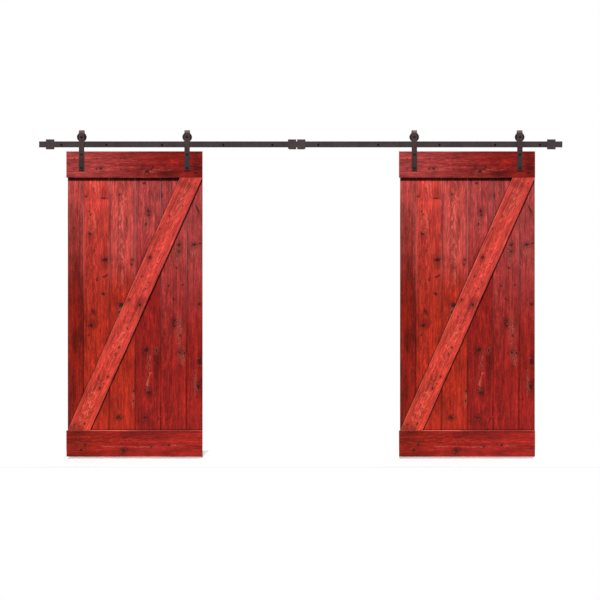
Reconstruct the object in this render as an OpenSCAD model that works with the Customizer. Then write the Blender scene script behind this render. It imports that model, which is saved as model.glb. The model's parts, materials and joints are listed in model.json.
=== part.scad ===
// Double sliding barn door: two Z-braced plank leaves that hang from one flat track.
// The front faces -Y and the wall is the plane y = 0. The track's centre line is at z = 0
// and the middle of the track is at x = 0. The right leaf is a copy of the left one.

/* [Track] */
// Length of the track, both rails together
track_len = 3658; // [3400:1:4400]
// Height of the flat bar
track_h = 42; // [35:1:51]
// Thickness of the flat bar
track_t = 6; // [5:0.5:8]
// Distance from the wall to the back of the track
stand_off = 35; // [32:1:45]
// Place of the joint between the two rails, from the middle of the track
joint_x = -28; // [-60:1:60]
// Length of the plate behind the joint
joiner_len = 200; // [160:1:260]
// Height of the plate behind the joint
joiner_h = 28; // [20:1:28]
// Thickness of the plate behind the joint
joiner_t = 4; // [3:0.5:5]

/* [Wall fixings] */
// Wall bolts of each rail, measured from the track's end
bolt_from_end = [156, 471, 859, 1288]; // [100:1:1500]
// Last wall bolt of the left rail, measured from the joint
left_bolt_from_joint = 170; // [140:1:250]
// Last wall bolt of the right rail, measured from the joint
right_bolt_from_joint = 151; // [140:1:250]
// Diameter of a wall bolt's plain shank
lag_d = 8; // [6:0.5:10]
// Diameter of a wall bolt's threaded end
lag_thread_d = 7.2; // [5:0.1:7.6]
// Length of a wall bolt in the wall
lag_grip = 50; // [40:1:80]
// Size of a wall bolt's hexagon head across its flats
lag_head_af = 13; // [10:1:16]
// Height of a wall bolt's head
lag_head_h = 5.5; // [4:0.5:6.5]
// Diameter of a wall spacer
spacer_d = 25; // [18:1:30]

/* [Stops] */
// Width of a stop with its rubber pad
stop_w = 58; // [45:1:70]
// Height of a stop above and below the track
stop_lip = 13.5; // [11:0.5:15]
// Thickness of a stop in front of the track
stop_front = 6; // [4:0.5:7]
// Thickness of the hooks behind the track
stop_back = 5; // [4.5:0.5:6]
// Distance from the end of the track to the middle of an end stop
end_stop_inset = 77; // [60:1:110]
// Gap between the two centre stops
stop_gap = 6; // [4:1:12]
// Thickness of the rubber pad that the wheel meets
pad_t = 6; // [4:0.5:9]
// Diameter of the screw that locks a stop
grub_d = 6; // [5:0.5:8]

/* [Leaf] */
// Width of a leaf
leaf_w = 950; // [780:1:1150]
// Height of a leaf
leaf_h = 2134; // [1750:1:2600]
// Distance that an open leaf can still slide outwards, until its wheel meets the stop
open_play = 163.2; // [60:0.1:300]
// Gap between the track and the top of a leaf
track_gap = 28; // [22:1:40]
// Thickness of the planks
plank_t = 19; // [16:0.5:23]
// Thickness of the rails and of the brace
rail_t = 19; // [16:0.5:23]
// Width of the four inner planks
plank_w = 180; // [150:1:216]
// Distance that the planks stand back from the rails' left ends
panel_inset = 8; // [2:1:15]
// Height of the top and the bottom rail
rail_h = 184; // [150:1:221]
// Width of the diagonal brace
brace_w = 142; // [115:1:170]
// Bevel along the planks' edges, which makes the V-grooves
plank_bevel = 3; // [1:0.5:4.5]
// Bevel on the front edges of the rails and of the brace
eased_edge = 2.5; // [1:0.5:4]
// Length of a plank's tongue
tongue_len = 6; // [4:0.5:8]
// Thickness of a plank's tongue
tongue_t = 6; // [4:0.5:7]

/* [Wood screws] */
// Diameter of a screw's core
screw_d = 4; // [3:0.5:5]
// Diameter of a screw's head
screw_head_d = 8.4; // [7:0.2:10]
// Depth of a screw in the plank behind
screw_bite = 15; // [10:0.5:15.5]
// Screws of the top rail, as shares of the planks' widths
top_screw_at = [0.43, 0.51, 0.44, 0.58, 0.54, 0.69]; // [0.2:0.01:0.8]
// Screws of the bottom rail, as shares of the planks' widths
bottom_screw_at = [0.48, 0.58, 0.60, 0.60, 0.55, 0.79]; // [0.2:0.01:0.8]
// The two rows of rail screws, below a rail's top edge
rail_screw_rows = [52, 126]; // [30:1:140]
// Screws of the brace's upper row, as shares of its length
brace_screw_at = [0.115, 0.228, 0.338, 0.443, 0.604, 0.704, 0.812, 0.932]; // [0.1:0.001:0.94]
// Distance of each row of brace screws from the brace's middle
brace_screw_row = 26.5; // [20:0.5:40]
// Distance that the lower row's screws lie further down the brace
brace_screw_lag = 72; // [40:1:90]
// Place of the two end screws, from the brace's corner
brace_end_screw = [50, 40]; // [35:1:60]

/* [Hangers] */
// Width of a strap
strap_w = 38; // [32:1:45]
// Thickness of a strap
strap_t = 5; // [4:0.5:6]
// Gap between the two legs of a strap
strap_inner = 32; // [28:1:36]
// Distance from a leaf's edge to the middle of a strap
hanger_inset = 106.5; // [90:0.5:140]
// Gap between the top of a wheel and the bend above it
bend_headroom = 9.7; // [6:0.1:14]
// Length of a strap below the top of the leaf
strap_drop = 134.5; // [130:0.5:160]
// The two strap bolts, below the top of the leaf
strap_bolt_rows = [22, 116]; // [18:1:125]
// Diameter of the strap bolts and of the axle bolts
bolt_d = 8; // [6:0.5:8]
// Diameter of their domed heads
bolt_head_d = 17.5; // [15:0.5:20]
// Height of their domed heads
bolt_head_h = 5; // [4:0.5:6]
// Size of their nuts across the flats
nut_af = 13; // [11:0.5:15]
// Height of their nuts
nut_h = 6.5; // [5:0.5:7]

/* [Wheels] */
// Radius of the floor of the groove, which rolls on the track
wheel_r = 29.5; // [27:0.5:32]
// Height of the wheel's flanges
flange_h = 4; // [3:0.5:5]
// Width of a wheel
wheel_w = 18; // [16:0.5:20]
// Outer diameter of the ball bearing
bearing_od = 22; // [20:1:24]
// Width of the ball bearing
bearing_w = 7; // [6:0.5:8]

/* [Clearances] */
// Running gap between the wheels and the track
roll_gap = 0.3; // [0.2:0.05:0.5]
// Gap on each side of the track in a wheel's groove
groove_gap = 0.5; // [0.4:0.1:1]
// Radial gap of a bolt, a screw or a ring in its hole
hole_gap = 0.1; // [0.05:0.05:0.2]
// Gap between neighbouring boards
board_gap = 0.2; // [0.1:0.05:0.5]

/* [Hidden] */
$fn = 48;
LEFT = -1;
RIGHT = 1;
INNER_PLANKS = 4;
cut = 1; // a cut runs this far past the face that it opens

// depths, from the wall to the front
track_back = -stand_off;
track_front = track_back - track_t;
wheel_y = track_back - track_t / 2;
leaf_front = wheel_y - strap_inner / 2;
plank_front = leaf_front + rail_t;
leaf_back = plank_front + plank_t;
strap_front = leaf_front - strap_t;
strap_rear_in = wheel_y + strap_inner / 2;
strap_rear = strap_rear_in + strap_t;

// heights, from the track's centre line
track_top = track_h / 2;
axle_z = track_top + roll_gap + wheel_r;
rim_r = wheel_r + flange_h;
bend_z = axle_z + rim_r + bend_headroom - strap_inner / 2;
leaf_top = -track_top - track_gap;
leaf_bottom = leaf_top - leaf_h;
brace_top = leaf_top - rail_h - board_gap;
brace_bottom = leaf_bottom + rail_h + board_gap;
stop_h = track_h + 2 * stop_lip;

// places along the track: an end stop, and the middle of a leaf that stands open_play from it;
// a wheel touches the upper corner of a stop's pad at pad_reach from its axle
end_stop_x = track_len / 2 - end_stop_inset;
pad_reach = sqrt(pow(rim_r, 2) - pow(axle_z - stop_h / 2, 2));
hanger_dx = leaf_w / 2 - hanger_inset;
leaf_x = end_stop_x - stop_w / 2 - pad_reach - open_play - hanger_dx;

// the brace runs from corner to corner of the panel between the rails
panel_w = leaf_w - panel_inset;
brace_h = brace_top - brace_bottom;
brace_a = acos(brace_w / norm([panel_w, brace_h])) - atan2(brace_h, panel_w);
brace_len = brace_h / cos(brace_a);
brace_foot_x = panel_inset + brace_w / cos(brace_a) / 2;

bolt_tail = 1.5; // the end of a bolt stands this far out of its nut
screw_sink = 1; // a screw's head lies this far below the wood
screw_cone = 2.2; // height of the cone under a screw's head
socket_af = 5; // hexagon socket in the domed heads
socket_deep = 2.6;
drive = 2; // square socket in the wood screws and its depth
tip_r = 0.4; // radius at the blunt point of a wood screw or a wall bolt
corner = 1; // small bevel on steel ends and wheel rims
inner_ring_t = 1.8; // walls of the ball bearing's two rings and of its shields
outer_ring_t = 1.5;
shield_t = 0.5;
bearing_r = bearing_od / 2;
inner_ring_r = bolt_d / 2 + hole_gap + inner_ring_t;
bearing_y = wheel_y - bearing_w / 2;

// Places, in x, of what repeats
function leaf_left(side) = side * leaf_x - leaf_w / 2;
function hanger_x(side, end) = side * leaf_x + end * hanger_dx;
function edge_plank_w() = (panel_w - INNER_PLANKS * plank_w) / 2;
function plank_x(i) = i == 0 ? panel_inset
    : i > INNER_PLANKS + 1 ? leaf_w
    : panel_inset + edge_plank_w() + (i - 1) * plank_w;
function plank_share(i, share) = plank_x(i) + share * (plank_x(i + 1) - plank_x(i));
function brace_point(along, across) = [
    brace_foot_x + along * sin(brace_a) + across * cos(brace_a),
    brace_bottom + along * cos(brace_a) - across * sin(brace_a)
];

lag_x = concat(
    [for (d = bolt_from_end) d - track_len / 2],
    [joint_x - left_bolt_from_joint, joint_x + right_bolt_from_joint],
    [for (d = bolt_from_end) track_len / 2 - d]
);
// each stop's place and the side on which the wheel comes
centre_stop_dx = (stop_gap + stop_w) / 2;
stops = [[-end_stop_x, 1], [joint_x - centre_stop_dx, -1], [joint_x + centre_stop_dx, 1], [end_stop_x, -1]];
joiner_screw_x = [for (share = [-0.4, -0.16, 0.16, 0.4]) joint_x + share * joiner_len];
joiner_screw_r = 2.5;
joiner_bite = track_t - 1.5;

// x and z of each screw in a leaf, from the leaf's left edge
top_screws = [for (i = [0:INNER_PLANKS + 1], row = rail_screw_rows)
    [plank_share(i, top_screw_at[i]), leaf_top - row]];
bottom_screws = [for (i = [0:INNER_PLANKS + 1], row = rail_screw_rows)
    [plank_share(i, bottom_screw_at[i]), leaf_bottom + rail_h - row]];
rail_screws = concat(top_screws, bottom_screws);
brace_screws = concat(
    [for (at = brace_screw_at) brace_point(at * brace_len, -brace_screw_row)],
    [for (at = brace_screw_at) brace_point(at * brace_len - brace_screw_lag, brace_screw_row)],
    [[panel_inset + brace_end_screw[0], brace_bottom + brace_end_screw[1]],
     [leaf_w - brace_end_screw[0], brace_top - brace_end_screw[1]]]
);

// ---- shared shapes ----

// A box given by its lowest and its highest corner
module block(low, high) {
    translate(low) cube(high - low);
}

// A cylinder along +Y from y0 to y1, with an optional second radius at y1
module rod(x, z, y0, y1, r, r_end = -1) {
    translate([x, y0, z]) rotate([-90, 0, 0])
        cylinder(r1 = r, r2 = r_end < 0 ? r : r_end, h = y1 - y0);
}

// A ring along +Y, turned from the points of half its section: radius, then depth
module turned(x, z, y0, points) {
    translate([x, y0, z]) rotate([-90, 0, 0]) rotate_extrude() polygon(points);
}

// A hexagonal prism along +Y
module hexagon(x, z, y0, y1, across_flats) {
    translate([x, y0, z]) rotate([-90, 0, 0])
        cylinder(r = across_flats / sqrt(3), h = y1 - y0, $fn = 6);
}

// The domed head of a bolt, whose flat underside is at y, with a hexagon socket
module domed_head(x, z, y) {
    dome_r = (pow(bolt_head_d / 2, 2) + pow(bolt_head_h, 2)) / (2 * bolt_head_h);
    difference() {
        intersection() {
            translate([x, y - bolt_head_h + dome_r, z]) sphere(r = dome_r);
            rod(x, z, y - bolt_head_h - cut, y, bolt_head_d);
        }
        hexagon(x, z, y - bolt_head_h - cut, y - bolt_head_h + socket_deep, socket_af);
    }
}

// A bolt with a domed head in front, which ends at y_end
module domed_bolt(x, z, y, y_end) {
    domed_head(x, z, y);
    rod(x, z, y, y_end - corner, bolt_d / 2);
    rod(x, z, y_end - corner, y_end, bolt_d / 2, bolt_d / 2 - corner);
}

// A nut on a bolt, with its face on the surface at y
module nut(x, z, y) {
    difference() {
        hexagon(x, z, y, y + nut_h, nut_af);
        rod(x, z, y - cut, y + nut_h + cut, bolt_d / 2 + hole_gap);
    }
}

// ---- track ----

module track_rail(x0, x1) {
    difference() {
        block([x0, track_front, -track_top], [x1, track_back, track_top]);
        for (x = lag_x)
            rod(x, 0, track_front - cut, track_back + cut, lag_d / 2 + hole_gap);
        for (x = joiner_screw_x)
            rod(x, 0, track_back - joiner_bite, track_back + cut, joiner_screw_r);
    }
}

module left_track_rail() {
    color("#483d3f") track_rail(-track_len / 2, joint_x);
}

module right_track_rail() {
    color("#483d3f") track_rail(joint_x, track_len / 2);
}

module track_joiner_plate() {
    color("#483d3f") difference() {
        block([joint_x - joiner_len / 2, track_back, -joiner_h / 2],
              [joint_x + joiner_len / 2, track_back + joiner_t, joiner_h / 2]);
        for (x = joiner_screw_x)
            rod(x, 0, track_back - cut, track_back + joiner_t + cut, joiner_screw_r);
    }
}

module joiner_screws() {
    head_y = track_back + joiner_t;
    head_h = 2.5;
    socket = 3;
    shank_r = joiner_screw_r - hole_gap;
    color("#1d1b1b") for (x = joiner_screw_x) difference() {
        union() {
            rod(x, 0, track_back - joiner_bite + hole_gap, head_y, shank_r);
            rod(x, 0, head_y, head_y + head_h, 2 * shank_r, 2 * shank_r - corner);
        }
        hexagon(x, 0, head_y + corner, head_y + head_h + cut, socket);
    }
}

module wall_lag_bolts() {
    tip = lag_thread_d;
    color("#1d1b1b") for (x = lag_x) {
        hexagon(x, 0, track_front - lag_head_h, track_front, lag_head_af);
        rod(x, 0, track_front, 0, lag_d / 2);
        rod(x, 0, 0, lag_grip - tip, lag_thread_d / 2);
        rod(x, 0, lag_grip - tip, lag_grip, lag_thread_d / 2, tip_r);
    }
}

module wall_spacers() {
    color("#2b2626") for (x = lag_x) difference() {
        rod(x, 0, track_back, 0, spacer_d / 2);
        rod(x, 0, track_back - cut, cut, lag_d / 2 + hole_gap);
    }
}

// ---- stops ----

// Outline of a stop seen from the front: the wheel comes on the side where its pad is
module stop(place, low_corner) {
    x = place[0];
    to_wheel = place[1];
    front = track_front - stop_front;
    back = track_back + stop_back;
    slot = track_top + hole_gap;
    mouth = joiner_h / 2 + cut;
    half = stop_w / 2;
    low = stop_h / 2 - low_corner;
    color("#514648") difference() {
        translate([x, back, 0]) rotate([90, 0, 0]) linear_extrude(back - front)
            polygon([
                [to_wheel * (half - low_corner), -stop_h / 2], [to_wheel * half, -low],
                [to_wheel * half, slot], [to_wheel * (half - pad_t), slot],
                [to_wheel * (half - pad_t), stop_h / 2], [-to_wheel * half, stop_h / 2],
                [-to_wheel * half, -stop_h / 2]
            ]);
        block([x - stop_w, track_front - hole_gap, -slot], [x + stop_w, track_back + hole_gap, slot]);
        block([x - stop_w, track_back, -mouth], [x + stop_w, back + cut, mouth]);
        translate([x, wheel_y, -stop_h / 2 - cut])
            cylinder(r = grub_d / 2 + hole_gap, h = stop_lip + 2 * cut);
    }
}

module left_end_stop() {
    stop(stops[0], corner);
}

module left_centre_stop() {
    stop(stops[1], stop_lip / 2);
}

module right_centre_stop() {
    stop(stops[2], stop_lip / 2);
}

module right_end_stop() {
    stop(stops[3], corner);
}

module stop_rubber_pads() {
    color("#171516") for (place = stops) {
        inside = place[0] + place[1] * (stop_w / 2 - pad_t);
        outside = place[0] + place[1] * stop_w / 2;
        block([min(inside, outside), track_front - stop_front, track_top + roll_gap],
              [max(inside, outside), track_back + stop_back, stop_h / 2]);
    }
}

module stop_grub_screws() {
    color("#1d1b1b") for (place = stops) translate([place[0], wheel_y, -stop_h / 2 + cut])
        difference() {
            cylinder(r = grub_d / 2, h = stop_lip - cut);
            translate([0, 0, -cut]) cylinder(r = grub_d / 4, h = grub_d / 2 + cut, $fn = 6);
        }
}

// ---- leaves ----

// Section of a plank, with its front at y = 0: a bevel on every corner, a groove on the
// left and a tongue on the right
function plank_section(w, groove, tongue) = concat(
    [[plank_bevel, 0], [w - plank_bevel, 0], [w, plank_bevel]],
    tongue ? [[w, (plank_t - tongue_t) / 2], [w + tongue_len, (plank_t - tongue_t) / 2],
              [w + tongue_len, (plank_t + tongue_t) / 2], [w, (plank_t + tongue_t) / 2]] : [],
    [[w, plank_t - plank_bevel], [w - plank_bevel, plank_t],
     [plank_bevel, plank_t], [0, plank_t - plank_bevel]],
    groove ? [[0, (plank_t + tongue_t) / 2 + board_gap],
              [tongue_len + 2 * board_gap, (plank_t + tongue_t) / 2 + board_gap],
              [tongue_len + 2 * board_gap, (plank_t - tongue_t) / 2 - board_gap],
              [0, (plank_t - tongue_t) / 2 - board_gap]] : [],
    [[0, plank_bevel]]
);

// Holes that the strap bolts need in the rail and the planks behind it
module strap_bolt_holes(side, y0, y1) {
    for (end = [LEFT, RIGHT], row = strap_bolt_rows)
        rod(hanger_x(side, end), leaf_top - row, y0, y1, bolt_d / 2 + hole_gap);
}

module plank(side, i) {
    first = i == 0;
    last = i == INNER_PLANKS + 1;
    x0 = plank_x(i) + (first ? 0 : board_gap / 2);
    x1 = plank_x(i + 1) - (last ? 0 : board_gap / 2);
    reach = tongue_len + screw_d;
    color("#9c2f28") difference() {
        translate([leaf_left(side) + x0, plank_front, leaf_bottom]) linear_extrude(leaf_h)
            polygon(plank_section(x1 - x0, !first, !last));
        for (p = concat(rail_screws, brace_screws))
            if (p[0] > x0 - reach && p[0] < x1 + reach)
                rod(leaf_left(side) + p[0], p[1], plank_front - cut,
                    plank_front + screw_bite + hole_gap, screw_d / 2 + hole_gap);
        strap_bolt_holes(side, plank_front - cut, leaf_back + cut);
    }
}

// Sunk holes for wood screws through a board on the planks
module screw_holes(side, places) {
    hole_r = screw_d / 2 + 2 * hole_gap;
    sink_r = screw_head_d / 2 + 2 * hole_gap;
    sunk = leaf_front + screw_sink;
    for (p = places) {
        x = leaf_left(side) + p[0];
        rod(x, p[1], leaf_front - cut, sunk, sink_r);
        rod(x, p[1], sunk, sunk + screw_cone, sink_r, hole_r);
        rod(x, p[1], sunk + screw_cone / 2, plank_front + cut, hole_r);
    }
}

// Section of a rail or a brace, with its front at y = 0 and both front edges eased
function board_section(w) = [
    [-w / 2 + eased_edge, 0], [w / 2 - eased_edge, 0], [w / 2, eased_edge],
    [w / 2, rail_t], [-w / 2, rail_t], [-w / 2, eased_edge]
];

module rail(side, top, places, with_bolts) {
    color("#a5372c") difference() {
        translate([leaf_left(side), leaf_front, top - rail_h / 2])
            rotate([0, 90, 0]) linear_extrude(leaf_w) polygon(board_section(rail_h));
        screw_holes(side, places);
        if (with_bolts) strap_bolt_holes(side, leaf_front - cut, plank_front + cut);
    }
}

module brace(side) {
    overrun = brace_w;
    foot = brace_point(-overrun, 0);
    color("#b23a26") difference() {
        intersection() {
            translate([leaf_left(side) + foot[0], leaf_front, foot[1]]) rotate([0, brace_a, 0])
                linear_extrude(brace_len + 2 * overrun) polygon(board_section(brace_w));
            block([leaf_left(side), leaf_front - cut, brace_bottom],
                  [leaf_left(side) + leaf_w, plank_front + cut, brace_top]);
        }
        screw_holes(side, brace_screws);
    }
}

module wood_screws(side, places) {
    head = leaf_front + screw_sink + hole_gap;
    color("#2a1512") for (p = places) {
        x = leaf_left(side) + p[0];
        difference() {
            union() {
                rod(x, p[1], head, head + screw_cone, screw_head_d / 2, screw_d / 2);
                rod(x, p[1], head + screw_cone, plank_front + screw_bite - screw_d, screw_d / 2);
                rod(x, p[1], plank_front + screw_bite - screw_d, plank_front + screw_bite,
                    screw_d / 2, tip_r);
            }
            block([x - drive / 2, head - cut, p[1] - drive / 2],
                  [x + drive / 2, head + drive, p[1] + drive / 2]);
        }
    }
}

// ---- hangers ----

// A flat bar bent over the wheel: a long leg in front, a short one behind the wheel
module hanger_strap(side, end) {
    x = hanger_x(side, end);
    x0 = x - strap_w / 2;
    x1 = x + strap_w / 2;
    inner_r = strap_inner / 2;
    outer_r = inner_r + strap_t;
    foot = leaf_top - strap_drop;
    hole_r = bolt_d / 2 + hole_gap;
    color("#3d2f2a") difference() {
        union() {
            translate([x, leaf_front, 0]) rotate([90, 0, 0]) linear_extrude(strap_t) polygon([
                [-strap_w / 2 + corner, foot], [strap_w / 2 - corner, foot],
                [strap_w / 2, foot + corner], [strap_w / 2, bend_z],
                [-strap_w / 2, bend_z], [-strap_w / 2, foot + corner]
            ]);
            difference() {
                translate([x0, wheel_y, bend_z]) rotate([0, 90, 0]) cylinder(r = outer_r, h = strap_w);
                translate([x0 - cut, wheel_y, bend_z]) rotate([0, 90, 0])
                    cylinder(r = inner_r, h = strap_w + 2 * cut);
                block([x0 - cut, wheel_y - 2 * outer_r, bend_z - 2 * outer_r],
                      [x1 + cut, wheel_y + 2 * outer_r, bend_z]);
            }
            block([x0, strap_rear_in, axle_z], [x1, strap_rear, bend_z]);
            rod(x, axle_z, strap_rear_in, strap_rear, strap_w / 2);
        }
        rod(x, axle_z, strap_front - cut, strap_rear + cut, hole_r);
        for (row = strap_bolt_rows)
            rod(x, leaf_top - row, strap_front - cut, leaf_front + cut, hole_r);
    }
}

module strap_bolts(side) {
    color("#171516") for (end = [LEFT, RIGHT], row = strap_bolt_rows)
        domed_bolt(hanger_x(side, end), leaf_top - row, strap_front, leaf_back + nut_h + bolt_tail);
}

module strap_nuts(side) {
    color("#171516") for (end = [LEFT, RIGHT], row = strap_bolt_rows)
        nut(hanger_x(side, end), leaf_top - row, leaf_back);
}

module axle_bolts(side) {
    color("#171516") for (end = [LEFT, RIGHT])
        domed_bolt(hanger_x(side, end), axle_z, strap_front, strap_rear + nut_h + bolt_tail);
}

module axle_nuts(side) {
    color("#171516") for (end = [LEFT, RIGHT])
        nut(hanger_x(side, end), axle_z, strap_rear);
}

// ---- wheels ----

// The two halves of a spacer on each axle, from the strap's legs to the inner ring
module axle_spacers(side) {
    r = inner_ring_r - 2 * hole_gap;
    color("#8b8783") for (end = [LEFT, RIGHT], span = [[leaf_front, bearing_y],
                                                       [bearing_y + bearing_w, strap_rear_in]])
        difference() {
            rod(hanger_x(side, end), axle_z, span[0], span[1], r);
            rod(hanger_x(side, end), axle_z, span[0] - cut, span[1] + cut, bolt_d / 2 + hole_gap);
        }
}

module bearing_inner_rings(side) {
    color("#a9a6a2") for (end = [LEFT, RIGHT])
        turned(hanger_x(side, end), axle_z, bearing_y, [
            [bolt_d / 2 + hole_gap, 0], [inner_ring_r, 0],
            [inner_ring_r, bearing_w], [bolt_d / 2 + hole_gap, bearing_w]
        ]);
}

// The outer ring with the thin shields that cover the balls
module bearing_outer_ring(side, end) {
    lip_r = inner_ring_r + hole_gap;
    wall_r = bearing_r - outer_ring_t;
    color("#a9a6a2") turned(hanger_x(side, end), axle_z, bearing_y, [
        [lip_r, 0], [bearing_r, 0], [bearing_r, bearing_w], [lip_r, bearing_w],
        [lip_r, bearing_w - shield_t], [wall_r, bearing_w - shield_t],
        [wall_r, shield_t], [lip_r, shield_t]
    ]);
}

// A grooved wheel: the floor of its groove rolls on the track's top edge
module wheel(side, end) {
    pocket_r = bearing_r + hole_gap / 2;
    shoulder_r = bearing_r - outer_ring_t;
    groove = track_t / 2 + groove_gap;
    mid = wheel_w / 2;
    pocket = mid - bearing_w / 2;
    hub_wall = 3;
    rim_wall = 4;
    dish = 1.5;
    web_in = pocket_r + hub_wall;
    web_out = wheel_r - rim_wall;
    color("#201b1a") turned(hanger_x(side, end), axle_z, wheel_y - mid, [
        [shoulder_r, 0], [web_in, 0], [web_in + dish, dish], [web_out - dish, dish], [web_out, 0],
        [rim_r - corner, 0], [rim_r, corner], [rim_r, mid - groove - corner],
        [wheel_r, mid - groove], [wheel_r, mid + groove],
        [rim_r, mid + groove + corner], [rim_r, wheel_w - corner], [rim_r - corner, wheel_w],
        [web_out, wheel_w], [web_out - dish, wheel_w - dish], [web_in + dish, wheel_w - dish],
        [web_in, wheel_w], [pocket_r, wheel_w], [pocket_r, pocket], [shoulder_r, pocket]
    ]);
}

// ---- the nodes of the two leaves ----

module left_leaf_plank_1() { plank(LEFT, 0); }
module left_leaf_plank_2() { plank(LEFT, 1); }
module left_leaf_plank_3() { plank(LEFT, 2); }
module left_leaf_plank_4() { plank(LEFT, 3); }
module left_leaf_plank_5() { plank(LEFT, 4); }
module left_leaf_plank_6() { plank(LEFT, 5); }
module left_leaf_top_rail() { rail(LEFT, leaf_top, top_screws, true); }
module left_leaf_bottom_rail() { rail(LEFT, leaf_bottom + rail_h, bottom_screws, false); }
module left_leaf_brace() { brace(LEFT); }
module left_leaf_rail_screws() { wood_screws(LEFT, rail_screws); }
module left_leaf_brace_screws() { wood_screws(LEFT, brace_screws); }
module left_leaf_hanger_strap_a() { hanger_strap(LEFT, LEFT); }
module left_leaf_hanger_strap_b() { hanger_strap(LEFT, RIGHT); }
module left_leaf_wheel_a() { wheel(LEFT, LEFT); }
module left_leaf_wheel_b() { wheel(LEFT, RIGHT); }
module left_leaf_bearing_outer_ring_a() { bearing_outer_ring(LEFT, LEFT); }
module left_leaf_bearing_outer_ring_b() { bearing_outer_ring(LEFT, RIGHT); }
module left_leaf_bearing_inner_rings() { bearing_inner_rings(LEFT); }
module left_leaf_axle_bolts() { axle_bolts(LEFT); }
module left_leaf_axle_nuts() { axle_nuts(LEFT); }
module left_leaf_axle_spacers() { axle_spacers(LEFT); }
module left_leaf_strap_bolts() { strap_bolts(LEFT); }
module left_leaf_strap_nuts() { strap_nuts(LEFT); }

module right_leaf_plank_1() { plank(RIGHT, 0); }
module right_leaf_plank_2() { plank(RIGHT, 1); }
module right_leaf_plank_3() { plank(RIGHT, 2); }
module right_leaf_plank_4() { plank(RIGHT, 3); }
module right_leaf_plank_5() { plank(RIGHT, 4); }
module right_leaf_plank_6() { plank(RIGHT, 5); }
module right_leaf_top_rail() { rail(RIGHT, leaf_top, top_screws, true); }
module right_leaf_bottom_rail() { rail(RIGHT, leaf_bottom + rail_h, bottom_screws, false); }
module right_leaf_brace() { brace(RIGHT); }
module right_leaf_rail_screws() { wood_screws(RIGHT, rail_screws); }
module right_leaf_brace_screws() { wood_screws(RIGHT, brace_screws); }
module right_leaf_hanger_strap_a() { hanger_strap(RIGHT, LEFT); }
module right_leaf_hanger_strap_b() { hanger_strap(RIGHT, RIGHT); }
module right_leaf_wheel_a() { wheel(RIGHT, LEFT); }
module right_leaf_wheel_b() { wheel(RIGHT, RIGHT); }
module right_leaf_bearing_outer_ring_a() { bearing_outer_ring(RIGHT, LEFT); }
module right_leaf_bearing_outer_ring_b() { bearing_outer_ring(RIGHT, RIGHT); }
module right_leaf_bearing_inner_rings() { bearing_inner_rings(RIGHT); }
module right_leaf_axle_bolts() { axle_bolts(RIGHT); }
module right_leaf_axle_nuts() { axle_nuts(RIGHT); }
module right_leaf_axle_spacers() { axle_spacers(RIGHT); }
module right_leaf_strap_bolts() { strap_bolts(RIGHT); }
module right_leaf_strap_nuts() { strap_nuts(RIGHT); }

left_track_rail();
right_track_rail();
track_joiner_plate();
joiner_screws();
wall_lag_bolts();
wall_spacers();
left_end_stop();
left_centre_stop();
right_centre_stop();
right_end_stop();
stop_rubber_pads();
stop_grub_screws();
left_leaf_plank_1();
left_leaf_plank_2();
left_leaf_plank_3();
left_leaf_plank_4();
left_leaf_plank_5();
left_leaf_plank_6();
left_leaf_top_rail();
left_leaf_bottom_rail();
left_leaf_brace();
left_leaf_rail_screws();
left_leaf_brace_screws();
left_leaf_hanger_strap_a();
left_leaf_hanger_strap_b();
left_leaf_wheel_a();
left_leaf_wheel_b();
left_leaf_bearing_outer_ring_a();
left_leaf_bearing_outer_ring_b();
left_leaf_bearing_inner_rings();
left_leaf_axle_bolts();
left_leaf_axle_nuts();
left_leaf_axle_spacers();
left_leaf_strap_bolts();
left_leaf_strap_nuts();
right_leaf_plank_1();
right_leaf_plank_2();
right_leaf_plank_3();
right_leaf_plank_4();
right_leaf_plank_5();
right_leaf_plank_6();
right_leaf_top_rail();
right_leaf_bottom_rail();
right_leaf_brace();
right_leaf_rail_screws();
right_leaf_brace_screws();
right_leaf_hanger_strap_a();
right_leaf_hanger_strap_b();
right_leaf_wheel_a();
right_leaf_wheel_b();
right_leaf_bearing_outer_ring_a();
right_leaf_bearing_outer_ring_b();
right_leaf_bearing_inner_rings();
right_leaf_axle_bolts();
right_leaf_axle_nuts();
right_leaf_axle_spacers();
right_leaf_strap_bolts();
right_leaf_strap_nuts();
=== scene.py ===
"""Looks of a double sliding barn door: stained knotty pine leaves on a powder-coated steel track.

Both leaves carry the same boards, so each board's wood is worked out once, in the leaf's own
frame. Lengths in the settings are in metres; a board's pattern is laid out in millimetres.
"""

import json
import math
from collections import namedtuple

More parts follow.
